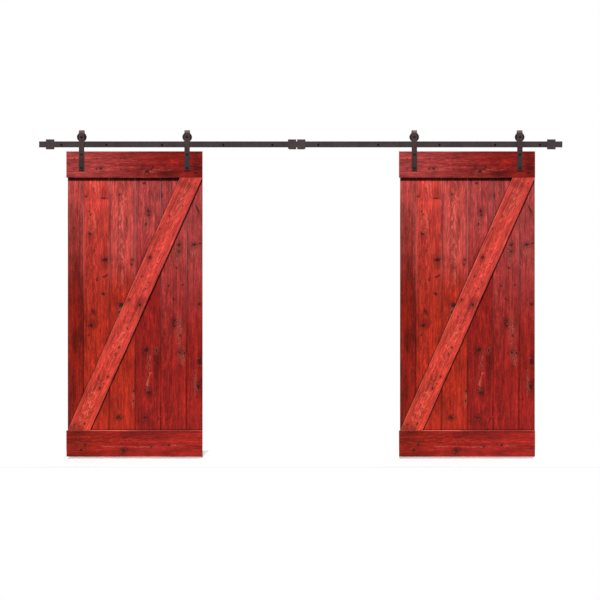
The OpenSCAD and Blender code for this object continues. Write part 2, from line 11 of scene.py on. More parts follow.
import bmesh
import bpy
from bpy.props import FloatProperty, FloatVectorProperty, PointerProperty
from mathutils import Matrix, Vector

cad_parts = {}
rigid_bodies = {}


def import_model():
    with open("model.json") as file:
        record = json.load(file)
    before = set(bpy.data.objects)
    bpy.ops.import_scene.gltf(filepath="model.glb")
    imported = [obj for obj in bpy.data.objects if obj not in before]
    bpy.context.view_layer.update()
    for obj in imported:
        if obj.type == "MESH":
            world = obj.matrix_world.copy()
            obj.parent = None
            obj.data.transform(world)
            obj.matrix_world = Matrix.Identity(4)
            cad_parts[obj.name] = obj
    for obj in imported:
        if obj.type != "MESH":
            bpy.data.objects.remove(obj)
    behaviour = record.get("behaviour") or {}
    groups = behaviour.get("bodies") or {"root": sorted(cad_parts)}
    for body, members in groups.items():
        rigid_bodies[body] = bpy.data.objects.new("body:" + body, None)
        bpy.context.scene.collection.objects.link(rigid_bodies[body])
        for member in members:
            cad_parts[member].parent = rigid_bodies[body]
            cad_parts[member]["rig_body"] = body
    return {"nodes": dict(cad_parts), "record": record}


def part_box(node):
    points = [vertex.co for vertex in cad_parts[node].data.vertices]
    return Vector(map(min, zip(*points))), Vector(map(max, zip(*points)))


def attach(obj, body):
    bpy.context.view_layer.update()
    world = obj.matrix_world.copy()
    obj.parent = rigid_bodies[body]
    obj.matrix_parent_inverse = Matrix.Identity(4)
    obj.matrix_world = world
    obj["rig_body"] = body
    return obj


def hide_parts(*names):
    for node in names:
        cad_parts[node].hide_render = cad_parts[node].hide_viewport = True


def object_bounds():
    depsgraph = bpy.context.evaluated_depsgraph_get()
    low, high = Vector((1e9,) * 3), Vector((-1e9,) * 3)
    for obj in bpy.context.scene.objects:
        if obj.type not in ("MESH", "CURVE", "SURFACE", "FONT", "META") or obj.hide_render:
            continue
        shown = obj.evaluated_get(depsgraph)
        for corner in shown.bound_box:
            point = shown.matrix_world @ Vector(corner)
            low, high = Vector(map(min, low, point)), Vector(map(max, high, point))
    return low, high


bl_info = {
    "name": "Sliding barn door",
    "version": (1, 0, 0),
    "blender": (4, 5, 0),
    "location": "3D View > Sidebar > Barn door",
    "description": "Gives the packed barn door its wood, steel and fasteners",
    "category": "Object",
}

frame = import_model()
CAD_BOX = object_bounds()
NODES = frame["nodes"]
SLOT_OF = {part["node"]: part["material_slot"] for part in frame["record"]["subparts"]}
LEAVES = ("left_leaf", "right_leaf")
MM = 0.001
ENDLESS = 1e6  # stretches a pattern so far, in one direction, that it never changes along it
SLICES = 8  # slices in one turn of a thread
THREAD_DEPTH = 0.65  # rough depth of a metric thread, as a share of its pitch

rail_low, rail_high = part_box("right_leaf_top_rail")
LEAF_X = (rail_low.x + rail_high.x) / 2
LEAF_TOP = rail_high.z
LEAF_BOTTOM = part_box("right_leaf_bottom_rail")[0].z
TONGUE = 6  # a plank's tongue runs this far into its neighbour, in millimetres


def linear(code):
    """The linear colour of an sRGB hex code."""
    shares = [int(code[i:i + 2], 16) / 255 for i in (1, 3, 5)]
    return [s / 12.92 if s <= 0.04045 else ((s + 0.055) / 1.055) ** 2.4 for s in shares] + [1.0]


# ---- settings ----


def colour_setting(name, description, code):
    """A colour in the sidebar, given as an sRGB hex code."""
    return FloatVectorProperty(
        name=name, description=description, default=linear(code), size=4, subtype="COLOR", min=0, max=1
    )


def length_setting(name, description, metres):
    """A length in the sidebar, in metres."""
    return FloatProperty(
        name=name, description=description, default=metres, min=0, unit="LENGTH", precision=4
    )


class BoardSettings(bpy.types.PropertyGroup):
    """Sizes and colours that all the boards share."""

    brace_width: length_setting("Brace width", "Width of the diagonal brace", 142 * MM)
    ring_width: length_setting("Ring width", "Drawn width of a year ring", 6 * MM)
    fibre_width: length_setting("Fibre width", "Drawn width of a bundle of fibres", 4 * MM)
    dark: colour_setting("Dark cherry", "Stain where a board drank the most", "#7A160A")
    deep: colour_setting("Deep cherry", "Stain on dense wood, brown red", "#871914")
    red: colour_setting("Red cherry", "Stain at its plain colour", "#9A2414")
    scarlet: colour_setting("Scarlet", "Stain on smooth planed wood", "#B23426")
    light: colour_setting("Light cherry", "Stain where a board took the least", "#C84037")
    rose: colour_setting("Rose", "Plain stain that daylight has faded", "#B6443E")
    dusty: colour_setting("Dusty rose", "Deep stain that daylight has faded", "#A23C3A")
    heart: colour_setting("Knot heart", "Colour of the stain in a knot", "#330A07")
    # the bare colour also paints the highlight on the eased edges of the rails and brace
    bare: colour_setting("Bare fleck", "Hard wood that took little stain", "#EE8A76")
    pale: colour_setting("Pale joint", "Tongues that show in the joints, where no stain lies", "#C98C8C")


class SteelSettings(bpy.types.PropertyGroup):
    """Colours of the coats on the steel, and of the plastic and rubber."""

    track: colour_setting("Track", "Powder coat of the track and its plate", "#3E3335")
    stop: colour_setting("Stops", "Powder coat of the four stops", "#443839")
    strap: colour_setting("Straps", "Powder coat of the hanger straps", "#3F2D2C")
    bolt: colour_setting("Bolts", "Black oxide of bolts and nuts", "#0B0909")
    wood_screw: colour_setting("Wood screws", "Black phosphate of the wood screws", "#120605")
    spacer: colour_setting("Spacers", "Black coat of the turned tubes", "#1A1617")
    wheel: colour_setting("Wheels", "Nylon of the wheels", "#151112")
    bearing: colour_setting("Bearings", "Ground steel of the ball bearings", "#B9B7B3")
    rubber: colour_setting("Pads", "Rubber of the stops' pads", "#0D0C0C")
    soft_edge: length_setting("Soft edge", "Rounding on the coated edges", 0.6 * MM)


class FastenerSettings(bpy.types.PropertyGroup):
    """Sizes of the bolts and nuts that get their threads and chamfers here."""

    bolt_diameter: length_setting("Bolt", "Diameter of strap and axle bolts", 8 * MM)
    bolt_pitch: length_setting("Bolt pitch", "Pitch of their thread", 1.25 * MM)
    head_diameter: length_setting("Domed head", "Diameter of a domed head", 17.5 * MM)
    head_height: length_setting("Domed head height", "Height of a domed head", 5 * MM)
    socket: length_setting("Socket", "Hexagon socket across its flats", 5 * MM)
    socket_depth: length_setting("Socket depth", "Depth of the socket", 2.6 * MM)
    nut_flats: length_setting("Nut", "Nut across its flats", 13 * MM)
    lag_shank: length_setting("Wall bolt", "Diameter of a wall bolt's shank", 8 * MM)
    lag_thread: length_setting("Wall bolt thread", "Outer diameter of its thread", 7.2 * MM)
    lag_core: length_setting("Wall bolt core", "Diameter between the thread's turns", 5.4 * MM)
    lag_pitch: length_setting("Wall bolt pitch", "Pitch of its thread", 3.6 * MM)
    lag_head: length_setting("Wall bolt head", "Height of its hexagon head", 5.5 * MM)


class StageSettings(bpy.types.PropertyGroup):
    """Camera, floor and light."""

    lens: FloatProperty(
        name="Lens", description="Focal length of the camera", default=135, min=20, unit="CAMERA"
    )
    seen_width: length_setting("Seen width", "Width of the picture at the door", 4.188)
    aim_left: length_setting("Aim left", "How far left of the track's middle the camera aims", 5 * MM)
    aim_below: length_setting("Aim below", "How far below the door's middle it aims", 46 * MM)
    floor_gap: length_setting("Floor gap", "Gap under the leaves", 12 * MM)
    floor_margin: length_setting("Floor margin", "Floor beyond each end of the track", 0.6)
    floor_depth: length_setting("Floor depth", "Floor from front to back", 1.6)
    floor_thickness: length_setting("Floor thickness", "Thickness of the floor's slab", 4 * MM)
    floor_colour: colour_setting("Floor", "Pale sealed floor", "#F4F4F3")
    key: FloatProperty(name="Key light", description="Strength of the main light", default=4.2)
    fill: FloatProperty(name="Back light", description="Strength of the light behind", default=2.4)
    sky: FloatProperty(name="Soft light", description="Strength of the light all round", default=0.16)


# ---- node and material helpers ----


def pick(sockets, key):
    """A socket by its number, or the one in use that has this name."""
    if isinstance(key, int):
        return sockets[key]
    return next(s for s in sockets if s.enabled and s.name == key)


def add_node(tree, kind, inputs, **settings):
    """Adds a shader node; an input is a value, a socket, or a node whose first output feeds it."""
    made = tree.nodes.new("ShaderNode" + kind)
    for key, value in settings.items():
        setattr(made, key, value)
    for key, value in inputs.items():
        entry = pick(made.inputs, key)
        if isinstance(value, bpy.types.Node):
            value = next(s for s in value.outputs if s.enabled)
        if isinstance(value, bpy.types.NodeSocket):
            tree.links.new(value, entry)
        else:
            entry.default_value = value
    return made


def new_material(name, **sockets):
    """A material with one Principled shader, whose sockets are set by their names."""
    material = bpy.data.materials.new(name)
    material.use_nodes = True
    tree = material.node_tree
    tree.nodes.clear()
    surface = add_node(tree, "BsdfPrincipled", {})
    add_node(tree, "OutputMaterial", {"Surface": surface})
    for key, value in sockets.items():
        surface.inputs[key.replace("_", " ")].default_value = value
    return material, tree, surface


def feed(tree, surface, **sources):
    """Links a node to each of the shader's sockets that is named."""
    for key, source in sources.items():
        output = next(s for s in source.outputs if s.enabled)
        tree.links.new(output, surface.inputs[key.replace("_", " ")])


def product(tree, *factors):
    """Multiplies its factors. One given as (value, start, end, low, high) is a smooth step, which
    goes from low to high as the value goes from start to end."""
    result = None
    for factor in factors:
        if isinstance(factor, tuple):
            value, start, end, low, high = factor
            factor = add_node(
                tree, "MapRange",
                {"Value": value, "From Min": start, "From Max": end, "To Min": low, "To Max": high},
                interpolation_type="SMOOTHSTEP",
            )
        if result is None:
            result = factor
        else:
            result = add_node(tree, "Math", {0: result, 1: factor}, operation="MULTIPLY")
    return result


def clothe(node, material):
    """Puts one material on a CAD node."""
    slots = NODES[node].data.materials
    slots.clear()
    slots.append(material)


def soften(node, width):
    """Rounds a CAD node's hard edges a little, so that they catch the light."""
    weld = NODES[node].modifiers.new("join_faces", "WELD")
    weld.merge_threshold = 0.01 * MM
    bevel = NODES[node].modifiers.new("soft_edges", "BEVEL")
    bevel.width = width
    bevel.segments = 2
    bevel.limit_method = "ANGLE"
    bevel.angle_limit = math.radians(40)
    bevel.harden_normals = True


# ---- boards ----

# A board's frame in the leaf: its origin, from the leaf's middle, and its turn about Y, which
# takes the grain from upright. across runs to the right, or down on the two rails; along
# runs up, or to the right on the rails, and width and length are the board's own. The stain is
# the tone named by foot at along 0 and the one named by head at the far end, and changes between
# the two shares in change. pith is the middle of the year rings: across, depth behind the face,
# along, and lean in degrees. Knots, soaked and bright spots are (across, along, half width,
# half length, lean in degrees). Lengths are in millimetres.
Board = namedtuple("Board", "name origin turn width length foot head change pith knots soaked bright")


def plank_frame(number):
    """A plank's name, origin, turn, width and length."""
    low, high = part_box(f"right_leaf_plank_{number}")
    tongue = 0 if number == 6 else TONGUE
    width, length = (high.x - low.x) / MM - tongue, (LEAF_TOP - LEAF_BOTTOM) / MM
    return f"plank_{number}", (low.x - LEAF_X, low.y, LEAF_BOTTOM), 0.0, width, length


def rail_frame(name):
    """A lying rail's name, origin, turn, width and length."""
    low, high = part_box(f"right_leaf_{name}")
    width, length = (high.z - low.z) / MM, (high.x - low.x) / MM
    return name, (low.x - LEAF_X, low.y, high.z), math.pi / 2, width, length


def brace_frame(width):
    """Name, origin, tilt, width and length of a brace from corner to corner of its box."""
    low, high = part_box("right_leaf_brace")
    wide, tall = high.x - low.x, high.z - low.z
    tilt = math.acos(width / math.hypot(wide, tall)) - math.atan2(tall, wide)
    left = low.x - LEAF_X + width / math.cos(tilt) / 2 - width / 2 * math.cos(tilt)
    origin = (left, low.y, low.z + width / 2 * math.sin(tilt))
    return "brace", origin, tilt, width / MM, tall / math.cos(tilt) / MM


def boards(brace_width):
    """The nine boards of a leaf with their stain, pith and knots."""
    return (
        Board(
            *plank_frame(1), "dark", "rose", (0.5, 0.9), (130, 60, 0, -2.0),
            [(48, 1600, 4, 7, 0), (30, 1290, 4, 6, 0), (74, 1030, 5, 8, 0), (40, 560, 4, 7, 0)],
            [(39, 1615, 20, 150, 3), (84, 1560, 20, 170, 0), (62, 1290, 26, 110, -4),
             (90, 860, 18, 70, 0), (57, 790, 30, 100, 5)],
            [(60, 2020, 24, 60, 0)],
        ),
        Board(
            *plank_frame(2), "red", "light", (0.4, 0.95), (60, 40, 0, -2.6),
            [(16, 1819, 12, 8, 20), (39, 1714, 6, 8, 0), (50, 1691, 7, 11, -30), (45, 1557, 14, 9, -30),
             (75, 1440, 6, 8, 0), (142, 1807, 26, 5, 0), (150, 1376, 28, 12, 0), (150, 1262, 28, 8, 25),
             (91, 1236, 8, 9, 40), (138, 1137, 17, 11, -20), (66, 1015, 28, 8, -60),
             (50, 915, 18, 12, 10), (39, 851, 7, 9, 0)],
            [(138, 1845, 26, 42, 0), (66, 1010, 26, 34, -30), (45, 1550, 34, 30, 0),
             (150, 1370, 30, 50, 0), (60, 930, 40, 40, 0)],
            [(60, 1640, 30, 90, 0), (90, 1880, 24, 60, 0)],
        ),
        Board(
            *plank_frame(3), "red", "rose", (0.5, 0.72), (82, 26, 300, -3.4),
            [(70, 1833, 7, 6, 0), (159, 1376, 8, 10, 0), (156, 1341, 8, 10, 0), (80, 1061, 18, 17, 0),
             (69, 1008, 9, 11, 0), (92, 933, 9, 13, 0), (172, 460, 8, 12, 0), (168, 390, 7, 11, 0),
             (63, 273, 22, 13, 15)],
            [(80, 1045, 30, 60, 0), (63, 273, 34, 28, 0), (158, 1358, 16, 40, 0), (115, 1620, 14, 150, 0)],
            [(84, 1700, 17, 170, -3), (88, 1380, 16, 160, 2), (76, 1010, 20, 60, 0), (168, 410, 12, 60, 0)],
        ),
        Board(
            *plank_frame(4), "deep", "dusty", (0.5, 0.85), (110, 50, 0, -2.2),
            [(64, 1913, 14, 12, 0), (91, 1718, 11, 20, 10), (93, 1688, 12, 10, 0), (76, 1627, 9, 18, 0),
             (81, 746, 19, 15, 0), (151, 740, 9, 18, 10), (97, 448, 20, 15, 0), (70, 273, 15, 14, 0),
             (158, 262, 4, 26, -28), (136, 225, 4, 16, 0)],
            [(90, 1700, 26, 60, 0), (81, 740, 34, 52, 0), (97, 440, 36, 58, 0), (72, 268, 36, 50, 0),
             (30, 330, 26, 160, 0), (150, 620, 26, 120, 0)],
            [(80, 1630, 16, 60, 0), (100, 640, 14, 90, 0), (85, 520, 12, 60, 0), (150, 740, 14, 30, 0)],
        ),
        Board(
            *plank_frame(5), "deep", "dusty", (0.25, 0.9), (30, 60, 2134, 1.6),
            [(6, 1825, 8, 22, 0), (129, 1481, 16, 8, 25), (123, 1434, 8, 13, 0), (111, 1318, 8, 9, 0),
             (53, 1195, 9, 8, 0), (152, 1201, 12, 7, 30), (88, 1102, 11, 7, -20), (94, 950, 12, 7, 0),
             (96, 915, 13, 7, 0), (135, 845, 7, 10, 0), (128, 728, 8, 10, 0), (164, 724, 7, 11, 0),
             (140, 635, 6, 9, 0), (48, 262, 6, 8, 0)],
            [(120, 1440, 28, 70, 0), (94, 930, 28, 40, 0), (148, 726, 32, 30, 0)],
            [(118, 1420, 20, 90, 0), (130, 880, 22, 120, 0), (146, 700, 26, 60, 0)],
        ),
        Board(
            *plank_frame(6), "deep", "dusty", (0.35, 0.75), (-20, 60, 0, -1.8),
            [(78, 1728, 6, 40, 26), (54, 1481, 19, 13, 0), (90, 1490, 18, 5, 20), (89, 1067, 9, 12, 0),
             (88, 664, 15, 28, 8), (83, 490, 12, 24, 0), (30, 400, 5, 10, 0)],
            [(54, 1475, 34, 34, 0), (90, 660, 22, 80, 0), (84, 490, 22, 90, 0)],
            [(50, 1450, 26, 50, 0), (60, 520, 12, 90, 0)],
        ),
        Board(
            *rail_frame("top_rail"), "dusty", "deep", (0.0, 0.8), (96, 40, 0, -4.0),
            [(120, 243, 9, 11, 0), (120, 208, 6, 7, 0), (140, 564, 15, 17, 0), (118, 600, 6, 24, 62),
             (150, 905, 8, 12, 0)],
            [(132, 520, 20, 60, 60), (120, 240, 22, 40, 0), (150, 700, 30, 90, 0), (90, 914, 120, 40, 0)],
            [(124, 260, 10, 60, 0), (146, 570, 12, 50, 0), (130, 650, 8, 90, 0)],
        ),
        Board(
            *rail_frame("bottom_rail"), "dark", "deep", (0.0, 0.7), (70, 36, 914, 3.4),
            [(96, 132, 16, 10, 0), (137, 103, 9, 12, 0), (140, 400, 26, 10, 0), (114, 593, 8, 12, 0),
             (102, 715, 9, 15, 0), (60, 60, 4, 6, 0)],
            [(25, 70, 40, 90, 0), (140, 395, 34, 34, 0), (165, 120, 24, 90, 0), (30, 560, 30, 160, 0)],
            [(112, 330, 5, 90, 0), (116, 560, 6, 100, 0), (104, 760, 6, 60, 0)],
        ),
        Board(
            *brace_frame(brace_width), "scarlet", "light", (0.0, 0.7), (70, 24, 1870, 5.0),
            [(44, 1625, 6, 10, 0), (15, 1517, 6, 12, 0), (33, 1307, 12, 13, 0), (34, 1161, 5, 14, 0),
             (99, 1145, 7, 9, 0), (21, 976, 7, 12, 0), (106, 976, 9, 16, 20), (91, 791, 6, 9, 0),
             (93, 644, 7, 12, 0), (90, 592, 6, 10, 0), (106, 426, 10, 10, 0), (86, 328, 9, 15, 0),
             (90, 60, 10, 9, 0)],
            [(33, 1300, 26, 40, 0), (101, 970, 26, 60, 0), (71, 0, 90, 40, 0), (71, 1870, 90, 30, 0)],
            [(70, 1760, 26, 150, 0), (64, 200, 26, 150, 0), (80, 700, 18, 130, 0)],
        ),
    )


def board_point(tree, origin, turn):
    """Where a point lies in a board's frame, in millimetres: X across the grain, Y behind the
    face, Z along the grain. Both leaves are the same, so x is first counted from the middle of
    the leaf that the point is in."""
    place = add_node(tree, "SeparateXYZ", {0: add_node(tree, "TexCoord", {}).outputs["Object"]})
    side = add_node(tree, "Math", {0: place.outputs["X"]}, operation="SIGN")
    leaf_x = add_node(tree, "Math", {0: side, 1: -LEAF_X, 2: place.outputs["X"]}, operation="MULTIPLY_ADD")
    in_leaf = add_node(tree, "CombineXYZ", {"X": leaf_x, "Y": place.outputs["Y"], "Z": place.outputs["Z"]})
    return add_node(
        tree, "Mapping",
        {"Vector": in_leaf, "Location": origin, "Rotation": (0, turn, 0), "Scale": (MM, MM, MM)},
        vector_type="TEXTURE",
    )


def nearest_spot(tree, point, spots, blend):
    """How far a point is from the nearest spot, where 1 is that spot's own rim. A spot runs
    through the whole board, as a branch does."""
    nearest = None
    for across, along, half_width, half_length, lean in spots:
        inside = add_node(
            tree, "Mapping",
            {"Vector": point, "Location": (across, 0, along), "Rotation": (0, math.radians(-lean), 0),
             "Scale": (half_width, ENDLESS, half_length)},
            vector_type="TEXTURE",
        )
        distance = add_node(tree, "VectorMath", {0: inside}, operation="LENGTH")
        if nearest is None:
            nearest = distance
        else:
            nearest = add_node(tree, "Math", {0: nearest, 1: distance, 2: blend}, operation="SMOOTH_MIN")
    return nearest


def year_rings(tree, pith, point, knot, waver, ring_width):
    """How much latewood there is at a point: 0 in the soft wood, 1 in the hard line of a ring.

    The pith lies behind the board and leans towards its face, so the rings run out on the face
    as flames. They swell round a knot, by up to lift, and wander by up to wander."""
    across, depth, along, lean = pith
    lift, wander = 4 * ring_width, 16
    from_pith = add_node(
        tree, "Mapping",
        {"Vector": point, "Location": (across, depth, along), "Rotation": (math.radians(lean), 0, 0),
         "Scale": (1, 1, ENDLESS)},
        vector_type="TEXTURE",
    )
    radius = add_node(tree, "VectorMath", {0: from_pith}, operation="LENGTH")
    swell = product(tree, (knot, 3.5, 0.2, 0.0, lift))
    radius = add_node(tree, "Math", {0: radius, 1: swell}, operation="ADD")
    radius = add_node(tree, "Math", {0: waver, 1: wander, 2: radius}, operation="MULTIPLY_ADD")
    wave = add_node(tree, "Math", {0: product(tree, radius, math.tau / ring_width)}, operation="SINE")
    return product(tree, (wave, 0.2, 0.95, 0.0, 1.0))


def painted_corner_shade(tree, depth, height, brace_width):
    """How light a plank stays: painted shade darkens it in the corners between its face and the rails and
    brace that lie on it, darkest as a painted shadow under the top rail, and it is 1 elsewhere and on its
    back."""
    _, origin, tilt, width, _ = brace_frame(brace_width)
    across_brace = add_node(tree, "SeparateXYZ", {0: board_point(tree, origin, tilt)}).outputs["X"]
    off_middle = add_node(tree, "Math", {0: across_brace, 1: width / 2}, operation="SUBTRACT")
    off_middle = add_node(tree, "Math", {0: off_middle}, operation="ABSOLUTE")
    top_rail = (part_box("right_leaf_top_rail")[0].z - LEAF_BOTTOM) / MM
    bottom_rail = (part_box("right_leaf_bottom_rail")[1].z - LEAF_BOTTOM) / MM
    reach = 14  # how far the painted shade reaches out from the corner, in millimetres
    clear = product(
        tree,
        (height, top_rail - 30, top_rail - reach, 1.0, 0.35),
        (height, bottom_rail, bottom_rail + reach, 0.6, 1.0),
        (off_middle, width / 2 + 2, width / 2 + reach, 0.45, 1.0),
    )
    behind_face = product(tree, (depth, 1.0, 3.0, 0.0, 1.0))
    return add_node(tree, "Math", {0: behind_face, 1: clear}, operation="MAXIMUM")


def stained_pine(board, settings):
    """Planed knotty pine under a cherry stain, satin.

    The stain soaks into the soft earlywood and the knots, and the hard latewood takes less of it, so a
    board shows light flames, dark eyes and pale flecks. The corners where the rails and brace lie on a
    plank get painted shade.
    """
    material, tree, surface = new_material("stained_pine_" + board.name, IOR=1.5, Specular_IOR_Level=0.1)
    point = board_point(tree, board.origin, board.turn)
    place = add_node(tree, "SeparateXYZ", {0: point})
    across, depth, height = place.outputs
    # each board is cut from its own stretch of the pattern
    stretch = (board.origin[0] * 9000, 0, board.turn * 5000)
    own_wood = add_node(tree, "VectorMath", {0: point, 1: stretch})

    def noise(width, length, detail, roughness=0.55):
        """Noise whose grains are this wide and this long, in millimetres."""
        stretched = add_node(
            tree, "VectorMath", {0: own_wood, 1: (1 / width, 1 / width, 1 / length)}, operation="MULTIPLY"
        )
        return add_node(
            tree, "TexNoise", {"Vector": stretched, "Scale": 1.0, "Detail": detail, "Roughness": roughness}
        )

    def shaken(grain, reach):
        """The point moved by up to half of reach either way, in millimetres."""
        moved = add_node(
            tree, "VectorMath", {0: grain.outputs["Color"], 1: reach, 2: point}, operation="MULTIPLY_ADD"
        )
        return add_node(tree, "VectorMath", {0: moved, 1: [r / 2 for r in reach]}, operation="SUBTRACT")

    # slow bends of the grain, and small ones that fray the knots
    bent = shaken(noise(260, 420, 2.0), (30, 28, 0))
    frayed = shaken(noise(11, 16, 4.0, 0.7), (22, 0, 26))
    knot = nearest_spot(tree, frayed, board.knots, 0.5)
    soaked = nearest_spot(tree, frayed, board.soaked, 0.3)
    bright = nearest_spot(tree, frayed, board.bright, 0.3)
    # the rings are drawn somewhat wider than those of real pine, so that they show
    waver = noise(24, 90, 3.0, 0.6)
    latewood = year_rings(tree, board.pith, bent, knot, waver, settings.ring_width / MM)

    streak = noise(11, 260, 4.0, 0.7)
    band = noise(34, 600, 2.0)
    blotch = noise(60, 150, 4.0, 0.65)
    # single fibres are too fine to show, so what is drawn is a bundle, 14 times as long as wide
    fibre_width = settings.fibre_width / MM
    fibre = noise(fibre_width, 14 * fibre_width, 2.0)
    fleck = noise(4.5, 17, 3.0, 0.6)
    edge = add_node(tree, "Math", {0: across, 1: board.width / 2}, operation="PINGPONG")

    # brightness, as a product of how little each of these lets the stain soak in, and of painted shade in
    # the corners and along the edges
    shade = product(tree, (knot, 0.9, 2.2, 0.78, 1.0))
    if not board.turn:
        # painted shadow under the top rail, and painted shade above the bottom rail and beside the brace
        shade = product(tree, shade, painted_corner_shade(tree, depth, height, settings.brace_width))
    shade = product(
        tree,
        shade,
        (streak, 0.25, 0.75, 0.62, 1.38),
        (band, 0.3, 0.7, 0.80, 1.22),
        (blotch, 0.25, 0.75, 0.70, 1.32),
        (fibre, 0.3, 0.7, 0.74, 1.28),
        (latewood, 0.0, 1.0, 0.88, 1.22),
        (soaked, 0.3, 1.5, 0.62, 1.0),
        # darker near every board edge: stain pooled in the joints, and painted shade in the grooves and
        # along the edges
        (edge, 2.5, 8.0, 0.74, 1.0),
    )
    start, end = board.change
    tone = add_node(
        tree, "Mix",
        {"Factor": product(tree, (height, start * board.length, end * board.length, 0.0, 1.0)),
         "A": list(getattr(settings, board.foot)), "B": list(getattr(settings, board.head))},
        data_type="RGBA",
    )
    colour = add_node(tree, "VectorMath", {0: tone, "Scale": shade}, operation="SCALE")

    # nearly bare flecks: many in the bright spots and at knots, few elsewhere
    near_knot = product(tree, (knot, 2.2, 1.2, 0.0, 0.55))
    in_bright = product(tree, (bright, 1.4, 0.4, 0.12, 1.0))
    where_bare = add_node(tree, "Math", {0: near_knot, 1: in_bright}, operation="MAXIMUM")
    flecks = product(tree, (fleck, 0.54, 0.70, 0.0, 1.0), where_bare)
    flames = product(tree, latewood, (bright, 1.6, 0.5, 0.0, 0.36))
    bare = add_node(tree, "Math", {0: flecks, 1: flames}, operation="MAXIMUM")
    heart = product(tree, (knot, 1.0, 0.5, 0.0, 0.8))
    # the rails and brace turn pale at their edges, partly stain rubbed off the arrises and partly a painted
    # highlight on the eased edges; the planks' tongues show pale in the upper joints
    if board.turn:
        rim = product(tree, (edge, 4.0, 1.0, 0.0, 1.0), (blotch, 0.35, 0.6, 0.25, 0.6))
        rim_colour = settings.bare
    else:
        upper = (height, 0.3 * board.length, 0.95 * board.length, 0.0, 0.9)
        rim = product(tree, (edge, 3.4, 2.2, 0.0, 1.0), upper)
        rim_colour = settings.pale
    rim = product(tree, rim, (band, 0.3, 0.6, 0.0, 1.0))
    for share, tint in (
        (product(tree, bare, 0.6), settings.bare),
        (heart, settings.heart),
        (rim, rim_colour),
    ):
        colour = add_node(tree, "Mix", {"Factor": share, "A": colour, "B": list(tint)}, data_type="RGBA")

    # the satin coat dulls in the open earlywood, and the brush left the latewood standing
    gloss = product(tree, (latewood, 0.0, 1.0, 0.62, 0.5))
    relief = add_node(tree, "Math", {0: fibre, 1: 0.4, 2: latewood}, operation="MULTIPLY_ADD")
    relief = add_node(tree, "Math", {0: relief, 1: heart}, operation="SUBTRACT")
    bump = add_node(tree, "Bump", {"Height": relief, "Strength": 0.35, "Distance": 0.5 * MM})
    feed(tree, surface, Base_Color=colour, Roughness=gloss, Normal=bump)
    return material


# ---- coats, plastics and bare steel ----


def powder_coat(name, colour, painted_shade_spans):
    """Dark bronze powder coat on hot-rolled steel, baked, satin.

    The coat flows into a fine orange peel and lies a little thicker here and thinner there, which gives
    broad soft highlights. The last argument holds stretches of z, in metres, over which its brightness goes
    from one share to another: painted shade, on the edges of the bars and stops and towards the foot of the
    straps.
    """
    material, tree, surface = new_material(name, IOR=1.5, Specular_IOR_Level=0.3)
    where = add_node(tree, "TexCoord", {}).outputs["Object"]
    cloud = add_node(tree, "TexNoise", {"Vector": where, "Scale": 1 / (90 * MM), "Detail": 4.0})
    # the peel is about 1.5 mm; drawn at 4 mm, because finer would not show
    peel = add_node(tree, "TexNoise", {"Vector": where, "Scale": 1 / (4 * MM), "Detail": 2.0})
    height = add_node(tree, "SeparateXYZ", {0: where}).outputs["Z"]
    shade = product(tree, (cloud, 0.3, 0.7, 0.9, 1.1), *((height, *stretch) for stretch in painted_shade_spans))
    tinted = add_node(tree, "VectorMath", {0: list(colour)[:3], "Scale": shade}, operation="SCALE")
    gloss = product(tree, (cloud, 0.3, 0.7, 0.44, 0.58))
    bump = add_node(tree, "Bump", {"Height": peel, "Strength": 0.12, "Distance": 0.1 * MM})
    feed(tree, surface, Base_Color=tinted, Roughness=gloss, Normal=bump)
    return material


def painted_edge_shade(half_height):
    """Painted shade: darker lines along the upper and lower edge of a bar whose middle is at z = 0."""
    start, end = half_height - 7 * MM, half_height - 2 * MM
    return [(start, end, 1.0, 0.8), (-end, -start, 0.75, 1.0)]


def speckled(name, colour, grit, spread, dull, bright, depth, **sockets):
    """A plain finish that varies: grit is its grain in metres, spread how much the colour does,
    dull and bright the ends of its roughness, depth the height of its grain in metres."""
    material, tree, surface = new_material(name, **sockets)
    where = add_node(tree, "TexCoord", {}).outputs["Object"]
    grain = add_node(tree, "TexNoise", {"Vector": where, "Scale": 1 / grit, "Detail": 3.0})
    shade = product(tree, (grain, 0.3, 0.7, 1 - spread, 1 + spread))
    tinted = add_node(tree, "VectorMath", {0: list(colour)[:3], "Scale": shade}, operation="SCALE")
    gloss = product(tree, (grain, 0.3, 0.7, bright, dull))
    bump = add_node(tree, "Bump", {"Height": grain, "Strength": 0.2, "Distance": depth})
    feed(tree, surface, Base_Color=tinted, Roughness=gloss, Normal=bump)
    return material


def black_oxide(colour):
    """Black oxide on steel, oiled: a thin dark film with a low satin sheen."""
    return speckled(
        "black_oxide_steel", colour, 3 * MM, 0.25, 0.55, 0.42, 0.05 * MM, Specular_IOR_Level=0.25
    )


def black_phosphate(colour):
    """Black phosphate on screws, grainy and dull, stained over with the wood."""
    return speckled("black_phosphate_steel", colour, 1 * MM, 0.35, 0.7, 0.5, 0.05 * MM, IOR=1.5)


def dipped_steel(colour):
    """Turned steel tube with a dipped black coat, smooth and satin."""
    return speckled("dipped_steel_tube", colour, 8 * MM, 0.15, 0.5, 0.38, 0.05 * MM, IOR=1.5)


def turned_nylon(colour):
    """Black nylon turned on a lathe: waxy, with faint tool marks that soften the highlight."""
    return speckled("turned_nylon", colour, 2 * MM, 0.2, 0.55, 0.42, 0.1 * MM, IOR=1.53)


def ground_steel(colour):
    """Ground bearing steel: bare metal with fine marks that blur its reflections."""
    return speckled("ground_bearing_steel", colour, 1.5 * MM, 0.08, 0.36, 0.26, 0.02 * MM, Metallic=1.0)


def moulded_rubber(colour):
    """Moulded black rubber: dull, with a dusty bloom."""
    return speckled("moulded_rubber", colour, 3 * MM, 0.3, 0.9, 0.75, 0.15 * MM, IOR=1.52)


